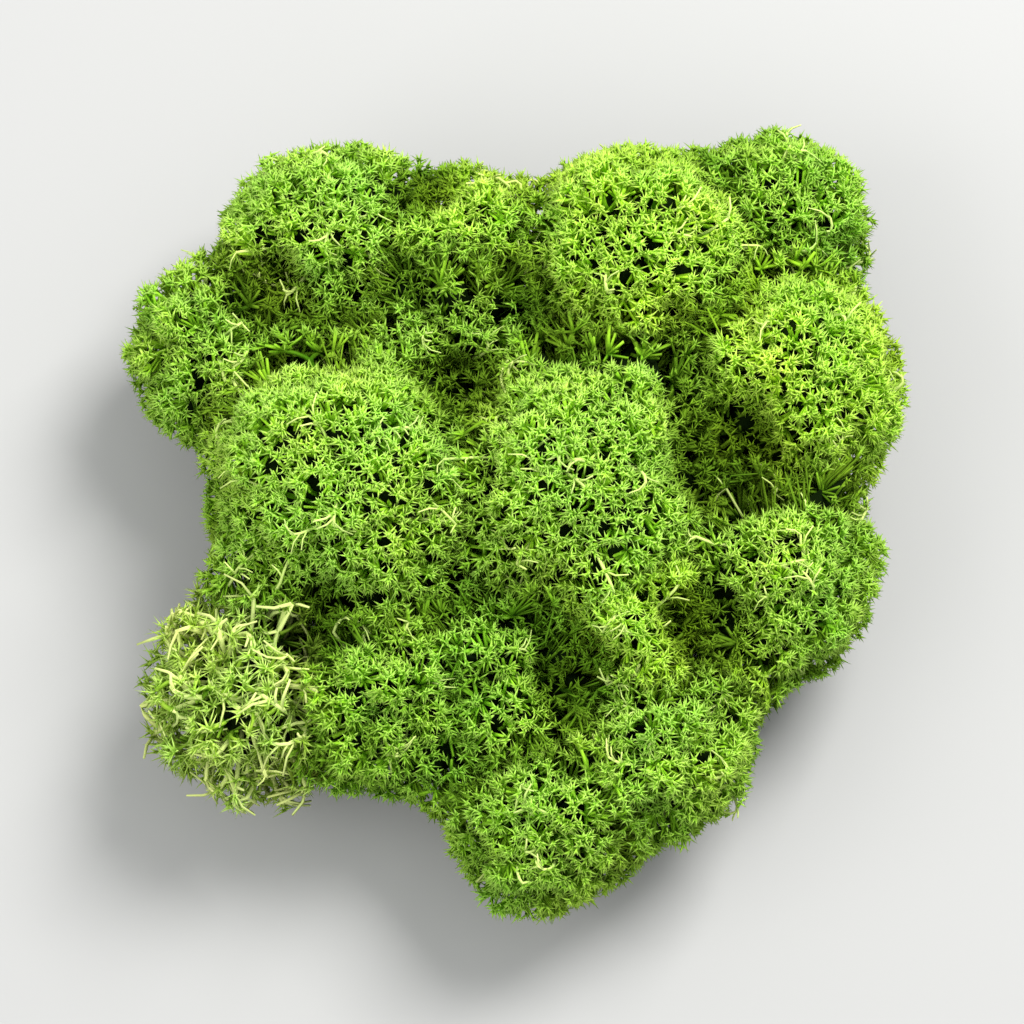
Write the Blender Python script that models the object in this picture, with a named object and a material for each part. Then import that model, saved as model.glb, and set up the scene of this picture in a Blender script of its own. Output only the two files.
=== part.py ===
"""A clump of reindeer lichen: sixteen domed heads of forking twigs, pressed together on one foot.

Every head is one plant body. Its old stalks rise from the foot, draw apart like the ribs of a fan and
carry a rounded dome. The dome is a lumpy core, and forked sprays are raised from the core's surface.
Flat parting walls through the fan's root keep neighbouring heads apart.
"""

import math
from dataclasses import dataclass

import bmesh
import bpy
import numpy as np

MM = 0.001
SEED = 20

# Driving dimensions of the clump
FAN_ROOT_DEPTH = 80 * MM  # the heads lean apart from this point below the foot
HEAD_GAP = 0.4 * MM  # clear space between neighbouring heads
FOOT_REACH = 40 * MM  # heads whose foot lies further out than this are lifted off
RIM_LIFT = 1.5 * MM

# Driving dimensions of a head, as shares of its radius or of its reach in each direction
CORE_SHARE = 0.76
OPEN_CORE_SHARE = 0.58
SHOULDER_SHARE = 0.96  # of the core below the crevices, where heads press on each other
CREVICE_REACH = (0.62, 0.82)  # reach, in radii, at which a pressed side begins and ends
CREVICE_SLOPE = (-0.15, 0.5)  # upward part of the direction at which the shoulder begins and ends
LOBES = 8
LOBE_BASE = 0.88  # of the dome between its lobes
LOBE_RISE = 0.12
LOBE_WIDTH = math.radians(26)
LOBE_UPWARD = 0.9  # how far the lobes gather round the top
FAR = 1.0  # distance of a wall that a direction never meets
WALL_ROUNDING = 7  # the higher, the sharper the edge where a dome meets a parting wall
DOME_LOWEST = math.radians(129)  # from the top of the dome
DOME_UNEVENNESS = 0.04
NECK_SHARES = (0.66, 0.60, 0.56)  # radius of the bundle of stalks: upper neck, lower neck, foot
NECK_HEIGHTS = (0.34, 0.14)  # heights of the two neck rings, as shares of the centre's height
CORNER_NECK = 1.35  # radius of the bundle in a corner between two neighbours
CORNER_WALLS = (1.0, 1.6)  # distance of the second wall, in radii, at which a corner begins and ends
FLUTE = 0.24  # depth of the furrows between the old stalks
STALKS_SMALL = 6
STALKS_LARGE = 8
SMALL_HEAD = 16 * MM

# Driving dimensions of a spray
SPRAY_SPACING = 8.0 * MM  # and a share of the head's radius more
SPRAY_SPACING_SHARE = 0.30
SPRAY_LOWEST = math.radians(122)
SPRAY_EXPOSED = 0.70  # a spray needs this share of its head's radius clear of the walls
SPRAY_EXPOSED_TOP = 0.42  # the same on top of the head
SPRAY_TOP = math.radians(62)
STEM_RADIUS = 1.7 * MM
STEM_SHARE = 0.70  # where an open head's sprays fork
SADDLE_RISE = 0.02  # of the point between three branches
BRANCH_RADIUS = 1.3 * MM
BRANCH_SPREAD = (0.29, 0.39)  # of the spacing
BRANCH_TOP = (0.48, 0.68)  # of the way from the core to the head's reach
BRANCH_TURN = 0.2  # unevenness, in radians
TIP_SPREAD = (0.20, 0.28)  # of the spacing
TIP_TOP = (0.93, 1.0)  # of the head's reach
TIP_TURN = 0.25
CELL_MARGIN = 0.006  # keeps a spray's twigs out of the next spray's cone
BUD_RISE = 0.09  # of the low buds between the sprays, as a share of the reach

# Finish
SHARP_EDGE = math.radians(50)
ROUGHNESS = 0.85


@dataclass(frozen=True)
class Head:
    """One head: its centre and radius in millimetres, its colour, and whether its twigs stand open."""

    name: str
    x: float
    y: float
    z: float
    radius: float
    colour: str
    open_twigs: bool = False

    @property
    def centre(self):
        return np.array((self.x, self.y, self.z)) * MM

    @property
    def reach(self):
        return self.radius * MM

    @property
    def spray_spacing(self):
        return SPRAY_SPACING + SPRAY_SPACING_SHARE * self.reach


HEADS = (
    Head("head_left_large", -25.5, 2.0, 25.5, 25.0, "pale_green"),
    Head("head_middle_large", 10.0, 3.5, 27.0, 23.5, "pale_green"),
    Head("head_upper_bright", 18.5, 40.0, 28.5, 20.5, "bright_green"),
    Head("head_right_dome", 44.2, 20.0, 26.5, 20.0, "bright_green"),
    Head("head_upper_left", -29.0, 43.5, 22.5, 19.0, "pale_green"),
    Head("head_left_edge", -46.5, 27.0, 18.5, 17.0, "mid_green"),
    Head("head_small_bright", -7.5, 42.0, 28.5, 14.5, "bright_green"),
    Head("head_upper_shaded", -8.5, 25.5, 21.0, 17.0, "mid_green"),
    Head("head_lower_bright", 18.0, -18.5, 27.5, 16.0, "bright_green"),
    Head("head_lower_middle", 22.5, -37.0, 21.5, 18.0, "mid_green"),
    Head("head_upper_right", 42.0, 48.0, 19.5, 18.0, "deep_green"),
    Head("head_lowest", 5.5, -48.5, 18.5, 17.0, "mid_green"),
    Head("head_wiry", -41.0, -28.0, 19.0, 20.0, "straw_green", True),
    Head("head_lower_left", -19.0, -29.0, 21.0, 18.0, "deep_green"),
    Head("head_lower_shaded", 0.0, -25.5, 19.5, 17.0, "deep_green"),
    Head("head_right_lower", 41.0, -11.0, 20.5, 19.0, "mid_green"),
)

COLOURS = {
    "pale_green": (0.40, 0.56, 0.10),
    "bright_green": (0.45, 0.66, 0.08),
    "mid_green": (0.27, 0.47, 0.06),
    "deep_green": (0.14, 0.34, 0.05),
    "straw_green": (0.48, 0.56, 0.16),
}


def unit(vectors):
    """Vectors scaled to length one."""
    return vectors / np.linalg.norm(vectors, axis=-1, keepdims=True)


def side_axes(direction):
    """Two unit vectors that stand square to a direction and to each other."""
    helper = np.array((0.0, 1.0, 0.0)) if abs(direction[0]) > 0.7 else np.array((1.0, 0.0, 0.0))
    first = unit(np.cross(direction, helper))
    return first, np.cross(direction, first)


def smooth_step(value, low, high):
    """0 below low, 1 above high, and a smooth rise between."""
    t = np.clip((value - low) / (high - low), 0.0, 1.0)
    return t * t * (3.0 - 2.0 * t)


def rounded_least(first, second):
    """The lesser of two lengths, rounded off where they are alike."""
    return (first**-WALL_ROUNDING + second**-WALL_ROUNDING) ** (-1.0 / WALL_ROUNDING)


def parting_walls(head):
    """The flat walls round a head, each as (outward normal, offset).

    A wall runs through the fan's root and through the point that parts the line between two centres
    by the power rule, so that the wider head gets the wider share. Both heads find the same wall.
    """
    root = np.array((0.0, 0.0, -FAN_ROOT_DEPTH))
    walls = []
    for other in HEADS:
        if other is head:
            continue
        across = other.centre - head.centre
        distance = np.linalg.norm(across)
        share = 0.5 + (head.reach**2 - other.reach**2) / (2.0 * distance**2)
        parting = head.centre + across * share
        along = unit(parting - root)
        normal = unit(across - along * (across @ along))
        walls.append((normal, normal @ parting - HEAD_GAP / 2))
    return walls


class HeadForm:
    """The form of a head: how far it reaches from its centre in any direction."""

    def __init__(self, head, rng):
        self.head = head
        self.walls = parting_walls(head)
        self.lobes = unit(rng.normal(size=(LOBES, 3)) + (0.0, 0.0, LOBE_UPWARD))

    def wall_limits(self, start, directions):
        """Distances from a point along each direction to the nearest wall and to the next one."""
        limits = np.full((len(self.walls) + 2, len(directions)), FAR)
        for row, (normal, offset) in zip(limits, self.walls):
            row[:] = np.minimum((offset - normal @ start) / np.maximum(directions @ normal, 1e-6), FAR)
        return np.sort(limits, axis=0)[:2]

    def reach(self, directions):
        """Reach of the head: a ball with rounded lobes, rounded off where it meets a wall."""
        angles = np.arccos(np.clip(directions @ self.lobes.T, -1.0, 1.0))
        rise = np.exp(-((angles / LOBE_WIDTH) ** 2)).max(axis=1)
        dome = self.head.reach * (LOBE_BASE + LOBE_RISE * rise)
        return rounded_least(dome, self.wall_limits(self.head.centre, directions)[0])

    def points(self, directions, shares):
        """Points at shares of the head's reach along directions."""
        return self.head.centre + directions * (self.reach(directions) * shares)[:, None]

    def core_share(self, directions):
        """Share of the reach that the core fills: nearly all of it low down, beside a wall."""
        pressed = 1.0 - smooth_step(self.reach(directions) / self.head.reach, *CREVICE_REACH)
        low = 1.0 - smooth_step(directions[:, 2], *CREVICE_SLOPE)
        share = OPEN_CORE_SHARE if self.head.open_twigs else CORE_SHARE
        return share + (SHOULDER_SHARE - share) * pressed * low

    def neck_points(self):
        """Rings of the fluted bundle of stalks, from under the dome down to the flat foot."""
        head = self.head
        count = 2 * (STALKS_SMALL if head.reach < SMALL_HEAD else STALKS_LARGE)
        turn = np.arange(count) * math.tau / count
        level = np.stack((np.cos(turn), np.sin(turn), np.zeros(count)), axis=1)
        flutes = 1.0 + FLUTE * np.where(np.arange(count) % 2, -1.0, 1.0)
        foot_lean = FAN_ROOT_DEPTH / (FAN_ROOT_DEPTH + head.centre[2])
        far_out = np.linalg.norm(head.centre[:2]) * foot_lean > FOOT_REACH
        heights = [share * head.centre[2] for share in NECK_HEIGHTS] + [RIM_LIFT if far_out else 0.0]
        rings = []
        for share, height in zip(NECK_SHARES, heights):
            lean = (FAN_ROOT_DEPTH + height) / (FAN_ROOT_DEPTH + head.centre[2])
            start = np.array((head.centre[0] * lean, head.centre[1] * lean, height))
            nearest, second = self.wall_limits(start, level)
            corner = 1.0 - smooth_step(second / head.reach, *CORNER_WALLS)
            free = head.reach * (share + (CORNER_NECK - share) * corner) * flutes
            rings.append(start + level * rounded_least(free, nearest)[:, None])
        return np.concatenate(rings)


def spread_directions(form, rng):
    """Directions over a head's dome, spread evenly by the golden angle, and which of them bear sprays."""
    head = form.head
    area = 2.0 * math.tau * head.reach**2
    count = int(area / (head.spray_spacing**2 * math.sin(math.radians(60))))
    index = np.arange(count)
    height = 1.0 - (2.0 * index + 1.0) / count
    turn = index * math.pi * (3.0 - math.sqrt(5.0)) + rng.uniform(0.0, math.tau)
    flat = np.sqrt(1.0 - height**2)
    directions = np.stack((flat * np.cos(turn), flat * np.sin(turn), height), axis=1)
    directions = unit(directions + rng.normal(scale=DOME_UNEVENNESS, size=directions.shape))
    directions = directions[directions[:, 2] > math.cos(DOME_LOWEST)]
    needed = np.where(directions[:, 2] > math.cos(SPRAY_TOP), SPRAY_EXPOSED_TOP, SPRAY_EXPOSED)
    exposed = form.reach(directions) > needed * head.reach
    return directions, exposed & (directions[:, 2] > math.cos(SPRAY_LOWEST))


def wrap(directions):
    """Triangles of the closed net that joins points on a ball, each turned to face outwards."""
    net = bmesh.new()
    corners = [net.verts.new(d) for d in directions]
    bmesh.ops.convex_hull(net, input=corners)
    bmesh.ops.triangulate(net, faces=net.faces[:])
    net.verts.index_update()
    faces = np.array([[v.index for v in face.verts] for face in net.faces])
    net.free()
    a, b, c = (directions[faces[:, k]] for k in range(3))
    inward = np.einsum("ij,ij->i", np.cross(b - a, c - a), a + b + c) < 0.0
    faces[inward] = faces[inward][:, ::-1]
    return faces


class Spray:
    """A forked spray that grows from a small triangle of the core's surface.

    Three branches leave the corners of the triangle and each ends in a star of three tips. Twigs stay
    inside the spray's own cone, which flat walls through the head's centre part from the next sprays.
    """

    def __init__(self, form, directions, own, rng):
        self.form = form
        self.aim = directions[own]
        self.others = np.delete(directions, own, axis=0)
        self.first, self.second = side_axes(self.aim)
        self.turn = rng.uniform(0.0, math.tau)
        self.rng = rng

    def direction(self, radius, angle):
        """The direction that leaves the spray's middle line by a length at the dome's surface."""
        offset = self.first * math.cos(angle) + self.second * math.sin(angle)
        offset = offset * radius / self.form.head.reach
        rate = (self.aim - self.others) @ offset
        room = (self.aim - self.others) @ self.aim - CELL_MARGIN
        crossing = rate < 0.0
        allowed = np.min(room[crossing] / -rate[crossing], initial=1.0)
        return unit(self.aim + offset * allowed)

    def ring(self, radius, share):
        """Three points round the middle line."""
        aims = np.array([self.direction(radius, self.turn + k * math.tau / 3) for k in range(3)])
        return self.form.points(aims, np.full(3, share))

    def beside(self, spread, outward, radius, angle, share):
        """One point beside a branch's end."""
        x = spread * math.cos(outward) + radius * math.cos(angle)
        y = spread * math.sin(outward) + radius * math.sin(angle)
        aim = self.direction(math.hypot(x, y), math.atan2(y, x))
        return self.form.points(aim[None], np.array((share,)))[0]

    def grow(self, points, faces, base):
        """Add the spray's points and triangles. base holds the indices of the core's small triangle."""
        rng = self.rng
        spacing = self.form.head.spray_spacing
        share = self.form.core_share(self.aim[None])[0]
        if self.form.head.open_twigs:
            start = len(points)
            points.extend(self.ring(STEM_RADIUS, STEM_SHARE))
            for k in range(3):
                n = (k + 1) % 3
                faces.append((base[k], base[n], start + n))
                faces.append((base[k], start + n, start + k))
            base = (start, start + 1, start + 2)
            share = STEM_SHARE
        saddle = len(points)
        points.append(self.beside(0.0, 0.0, 0.0, 0.0, share + SADDLE_RISE))
        for k in range(3):
            left_foot, right_foot = base[k], base[(k + 1) % 3]
            outward = self.turn + (k + 0.5) * math.tau / 3 + rng.uniform(-BRANCH_TURN, BRANCH_TURN)
            spread = spacing * rng.uniform(*BRANCH_SPREAD)
            top = share + (1.0 - share) * rng.uniform(*BRANCH_TOP)
            left = len(points)
            for angle in (outward - math.tau / 6, outward + math.tau / 6, outward + math.tau / 2):
                points.append(self.beside(spread, outward, BRANCH_RADIUS, angle, top))
            right, inner, hollow = left + 1, left + 2, left + 3
            points.append(self.beside(spread, outward, 0.0, 0.0, top))
            for a, b, c, d in (
                (left_foot, right_foot, right, left),
                (right_foot, saddle, inner, right),
                (saddle, left_foot, left, inner),
            ):
                faces.append((a, b, c))
                faces.append((a, c, d))
            ring = (left, right, inner)
            for t in range(3):
                angle = outward + t * math.tau / 3 + rng.uniform(-TIP_TURN, TIP_TURN)
                reach = spacing * rng.uniform(*TIP_SPREAD)
                tip = len(points)
                points.append(self.beside(spread, outward, reach, angle, rng.uniform(*TIP_TOP)))
                a, b = ring[t], ring[(t + 1) % 3]
                faces.extend(((a, b, tip), (b, hollow, tip), (hollow, a, tip)))


def build_head(head, rng):
    """One whole head: the core with its neck and foot, and the sprays raised from its surface."""
    form = HeadForm(head, rng)
    directions, bearing = spread_directions(form, rng)
    sprays = [Spray(form, directions, k, rng) for k in np.flatnonzero(bearing)]
    bare = directions[~bearing]
    points = []
    for spray in sprays:
        points.extend(spray.ring(STEM_RADIUS, form.core_share(spray.aim[None])[0]))
    points.extend(form.points(bare, form.core_share(bare)))
    points.extend(form.neck_points())
    faces = []
    net = wrap(unit(np.array(points) - head.centre))
    for corners in net.tolist():
        owner = corners[0] // 3
        if owner < len(sprays) and sorted(corners) == [3 * owner, 3 * owner + 1, 3 * owner + 2]:
            first = corners.index(3 * owner)
            sprays[owner].grow(points, faces, corners[first:] + corners[:first])
        elif max(corners) < 3 * len(sprays) and len({corner // 3 for corner in corners}) == 3:
            aim = unit(sum(points[corner] for corner in corners) / 3 - head.centre)[None]
            faces.extend((a, b, len(points)) for a, b in zip(corners, corners[1:] + corners[:1]))
            points.append(form.points(aim, form.core_share(aim) + BUD_RISE)[0])
        else:
            faces.append(corners)
    data = bpy.data.meshes.new(head.name)
    data.from_pydata([tuple(p) for p in points], [], faces)
    thing = bpy.data.objects.new(head.name, data)
    bpy.context.scene.collection.objects.link(thing)
    data.shade_smooth()
    data.set_sharp_from_angle(angle=SHARP_EDGE)
    colour(thing, head.colour)


def colour(thing, name):
    """Give a head its own material."""
    material = bpy.data.materials.new(thing.name)
    material.use_nodes = True
    shader = material.node_tree.nodes["Principled BSDF"]
    shader.inputs["Base Color"].default_value = (*COLOURS[name], 1.0)
    shader.inputs["Roughness"].default_value = ROUGHNESS
    shader.inputs["Metallic"].default_value = 0.0
    thing.data.materials.append(material)


def main():
    """Build the clump from an empty scene."""
    for old in list(bpy.data.objects):
        bpy.data.objects.remove(old)
    for number, head in enumerate(HEADS):
        build_head(head, np.random.default_rng((SEED, number)))


main()
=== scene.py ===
"""Looks of a reindeer lichen clump: heads of fine forking twigs over bundles of old stalks.

Every head is one plant body. Old stalks rise from its foot and fork layer by layer. The last forks end
in small stars of tips, which crowd into a bright net round dark holes. A head keeps the place of its
solid: the same centre, parting walls and foot. All shapes are worked out as whole arrays.
"""

import logging
import math
from dataclasses import dataclass, field, replace
from enum import Enum

import bpy
import numpy as np
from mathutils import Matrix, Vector


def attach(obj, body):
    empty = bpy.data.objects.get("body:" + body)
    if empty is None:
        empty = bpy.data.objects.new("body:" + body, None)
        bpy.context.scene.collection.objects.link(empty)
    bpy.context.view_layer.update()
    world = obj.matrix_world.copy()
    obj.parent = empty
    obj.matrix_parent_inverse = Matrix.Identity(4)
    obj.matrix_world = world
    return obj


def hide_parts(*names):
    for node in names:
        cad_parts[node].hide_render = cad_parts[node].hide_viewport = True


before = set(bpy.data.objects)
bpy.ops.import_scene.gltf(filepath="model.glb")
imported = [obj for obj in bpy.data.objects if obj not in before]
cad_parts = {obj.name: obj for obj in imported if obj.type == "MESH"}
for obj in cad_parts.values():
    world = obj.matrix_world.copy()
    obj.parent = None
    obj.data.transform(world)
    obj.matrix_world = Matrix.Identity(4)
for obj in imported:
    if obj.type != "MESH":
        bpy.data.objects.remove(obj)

MM = 0.001
SEED = 20
GOLDEN_TURN = math.pi * (3.0 - math.sqrt(5.0))
# light: the painted light and shade of each point, from the sky it sees
POINT_VALUES = ("tone", "tint", "light", "age")

Array = np.ndarray
Colour = tuple[float, float, float]
Place = tuple[float, float, float]

log = logging.getLogger("lichen")


class Tone(Enum):
    """The shades of green in the clump, named as the material slots."""

    PALE = "pale_green"
    BRIGHT = "bright_green"
    MID = "mid_green"
    DEEP = "deep_green"
    STRAW = "straw_green"


@dataclass(frozen=True)
class HeadPlan:
    """Where one head stands: its node, its centre and radius in millimetres, its shade and relief."""

    node: str
    x: float
    y: float
    z: float
    radius: float
    tone: Tone
    relief: float = 1.0
    open_twigs: bool = False

    @property
    def centre(self) -> Array:
        """The head's centre in metres."""
        return np.array((self.x, self.y, self.z)) * MM

    @property
    def size(self) -> float:
        """The head's radius in metres."""
        return self.radius * MM


CLUMP = (
    HeadPlan("head_left_large", -25.5, 2.0, 25.5, 25.0, Tone.PALE, 0.9),
    HeadPlan("head_middle_large", 10.0, 3.5, 27.0, 23.5, Tone.PALE, 0.9),
    HeadPlan("head_upper_bright", 18.5, 40.0, 28.5, 20.5, Tone.BRIGHT, 0.9),
    HeadPlan("head_right_dome", 44.2, 20.0, 26.5, 20.0, Tone.BRIGHT, 0.9),
    HeadPlan("head_upper_left", -29.0, 43.5, 22.5, 19.0, Tone.PALE, 1.1),
    HeadPlan("head_left_edge", -46.5, 27.0, 18.5, 17.0, Tone.MID, 1.4),
    HeadPlan("head_small_bright", -7.5, 42.0, 28.5, 14.5, Tone.BRIGHT),
    HeadPlan("head_upper_shaded", -8.5, 25.5, 21.0, 17.0, Tone.MID, 1.3),
    HeadPlan("head_lower_bright", 18.0, -18.5, 27.5, 16.0, Tone.BRIGHT),
    HeadPlan("head_lower_middle", 22.5, -37.0, 21.5, 18.0, Tone.MID, 1.5),
    HeadPlan("head_upper_right", 42.0, 48.0, 19.5, 18.0, Tone.DEEP, 1.4),
    HeadPlan("head_lowest", 5.5, -48.5, 18.5, 17.0, Tone.MID, 1.3),
    HeadPlan("head_wiry", -41.0, -28.0, 19.0, 20.0, Tone.STRAW, 1.9, True),
    HeadPlan("head_lower_left", -19.0, -29.0, 21.0, 18.0, Tone.DEEP, 1.5),
    HeadPlan("head_lower_shaded", 0.0, -25.5, 19.5, 17.0, Tone.DEEP, 1.5),
    HeadPlan("head_right_lower", 41.0, -11.0, 20.5, 19.0, Tone.MID, 1.3),
)


@dataclass(frozen=True)
class Cleft:
    """A deep gap between heads, where the surface sinks and the twigs get painted shade: its place, its
    radius and its depth, in millimetres.
    """

    x: float
    y: float
    radius: float
    depth: float


CLEFTS = (
    Cleft(33.0, 5.5, 6.5, 12.0),
    Cleft(28.5, -20.5, 5.0, 10.0),
    Cleft(9.0, -27.5, 4.8, 9.0),
    Cleft(-39.0, 33.0, 5.0, 9.0),
    Cleft(-7.5, 18.0, 5.0, 8.0),
    Cleft(-13.5, 49.0, 4.5, 7.0),
    Cleft(-30.0, -20.0, 4.5, 8.0),
)


def unit(vectors: Array) -> Array:
    """Scale vectors, which lie along the last axis, to length one."""
    return vectors / np.maximum(np.linalg.norm(vectors, axis=-1, keepdims=True), 1e-12)


def smooth_step(value: Array, low: float, high: float) -> Array:
    """Rise smoothly from 0 at low to 1 at high, as t * t * (3 - 2 * t)."""
    t = np.clip((value - low) / (high - low), 0.0, 1.0)
    return t * t * (3.0 - 2.0 * t)


def blend_lengths(first: Array, second: Array, power: float) -> Array:
    """Round off the lesser (power below 0) or greater of two: (a ** p + b ** p) ** (1 / p)."""
    return (first**power + second**power) ** (1.0 / power)


def side_axes(directions: Array) -> tuple[Array, Array]:
    """Find two unit vectors square to each direction and to each other.

    Args:
        directions: Unit vectors.

    Returns:
        The first and the second side axis of every row.
    """
    helper = np.where(np.abs(directions[:, :1]) > 0.7, (0.0, 1.0, 0.0), (1.0, 0.0, 0.0))
    first = unit(np.cross(directions, helper))
    return first, np.cross(directions, first)


def square_part(vectors: Array, axes: Array) -> Array:
    """The part of each vector that is square to its unit axis: v - (v . a) a."""
    return vectors - axes * np.sum(vectors * axes, axis=1)[:, None]


def upright_turn(turn: Array, height: Array) -> Array:
    """Unit vectors at a turn about the upright and at a height from -1 to 1."""
    flat = np.sqrt(1.0 - height**2)
    return np.stack((flat * np.cos(turn), flat * np.sin(turn), height), axis=-1)


def side_turn(first: Array, second: Array, angle: Array) -> Array:
    """Turn by an angle from one side axis to another: first cos a + second sin a."""
    return first * np.cos(angle)[..., None] + second * np.sin(angle)[..., None]


def ball_lattice(count: int, unevenness: float, rng: np.random.Generator) -> Array:
    """Spread directions evenly over a ball.

    Point k stands at height 1 - (2 k + 1) / count and is turned k times the golden angle.

    Args:
        count: How many directions.
        unevenness: Spread of a small random shift, in radians.
        rng: The head's random generator.

    Returns:
        Unit vectors.
    """
    index = np.arange(count)
    height = 1.0 - (2.0 * index + 1.0) / count
    turn = index * GOLDEN_TURN + rng.uniform(0.0, math.tau)
    even = upright_turn(turn, height)
    return unit(even + rng.normal(scale=unevenness, size=even.shape))


@dataclass(frozen=True)
class FormRule:
    """The sizes by which a head's form is drawn."""

    fan_root_depth: float = 80 * MM
    overlap: float = 1.8 * MM
    foot_reach: float = 40 * MM
    rim_lift: float = 1.5 * MM
    lobes: int = 8
    lobe_base: float = 0.95
    lobe_rise: float = 0.12
    lobe_width: float = math.radians(26)
    lobe_upward: float = 0.9
    ball_share: float = 0.92
    flow: tuple[float, float] = (4.6 * MM, 2.1 * MM)
    flow_heights: tuple[float, float] = (24 * MM, 38 * MM)
    wall_sharpness: float = -12.0
    waist_sharpness: float = 9.0
    foot_share: float = 0.56
    neck_slope: float = 0.30
    wall_wander: float = 1.5 * MM
    wander_waves: tuple[float, float] = (9 * MM, 24 * MM)
    wander_terms: int = 7
    curd_spacing: float = 8.4 * MM
    curd_rise: float = 1.4 * MM
    curd_width: float = 0.60
    deepest_furrow: float = 1.6
    curd_unevenness: float = 1.3 * MM


class Wander:
    """A smooth unevenness in space, a sum of sine waves, by which parting walls stray from flat."""

    def __init__(self, rule: FormRule) -> None:
        """Draw the waves, the same for every head.

        Args:
            rule: Holds the waves' height, lengths and number.
        """
        rng = np.random.default_rng(SEED)
        lengths = rng.uniform(*rule.wander_waves, size=rule.wander_terms)
        self.waves = unit(rng.normal(size=(rule.wander_terms, 3))) * (math.tau / lengths)[:, None]
        self.phases = rng.uniform(0.0, math.tau, size=rule.wander_terms)
        self.height = rule.wall_wander / math.sqrt(rule.wander_terms / 2)

    def at(self, points: Array) -> Array:
        """Height of the unevenness at points: the sum of sin(wave . point + phase)."""
        return self.height * np.sin(points @ self.waves.T + self.phases).sum(axis=-1)


class Cushion:
    """The whole clump as balls that flow into each other, so that no sharp groove parts the heads."""

    def __init__(self, rule: FormRule) -> None:
        """Place the balls.

        Args:
            rule: Holds the balls' share of a head's radius, and how far they flow together.
        """
        self.centres = np.array([head.centre for head in CLUMP])
        self.sizes = np.array([head.size for head in CLUMP]) * rule.ball_share
        self.rule = rule

    def depth(self, points: Array) -> Array:
        """How deep points lie inside: flow * log(sum over all balls of exp(-(distance) / flow)).

        The flow is greater low down, so that the valleys are filled and the tops stay apart.

        Args:
            points: Places, along the last axis.

        Returns:
            A length for each point, below 0 outside.
        """
        squared = np.sum(points**2, axis=-1)[..., None] - 2.0 * points @ self.centres.T
        away = np.sqrt(np.maximum(squared + np.sum(self.centres**2, axis=1), 0.0)) - self.sizes
        low, high = self.rule.flow
        flow = low + (high - low) * smooth_step(points[..., 2], *self.rule.flow_heights)
        return flow * np.log(np.exp(-away / flow[..., None]).sum(axis=-1))

    def exit(self, plan: HeadPlan, directions: Array, steps: int = 18) -> Array:
        """Distance at which rays from a head's centre leave the cushion.

        The rays are sampled at even steps, and the first crossing is found between two samples.

        Args:
            plan: The head.
            directions: Unit vectors.
            steps: How many samples a ray has.

        Returns:
            One distance for each direction, at most 1.6 of the head's radius.
        """
        t = np.linspace(0.7, 1.6, steps) * plan.size
        depth = self.depth(plan.centre + directions[:, None] * t[:, None])
        outside = depth < 0.0
        first = np.argmax(outside, axis=1)
        row = np.arange(len(directions))
        before, after = depth[row, np.maximum(first - 1, 0)], depth[row, first]
        crossing = t[np.maximum(first - 1, 0)] + (t[1] - t[0]) * before / np.maximum(before - after, 1e-9)
        return np.where(outside.any(axis=1), np.where(first > 0, crossing, t[0]), t[-1])


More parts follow.
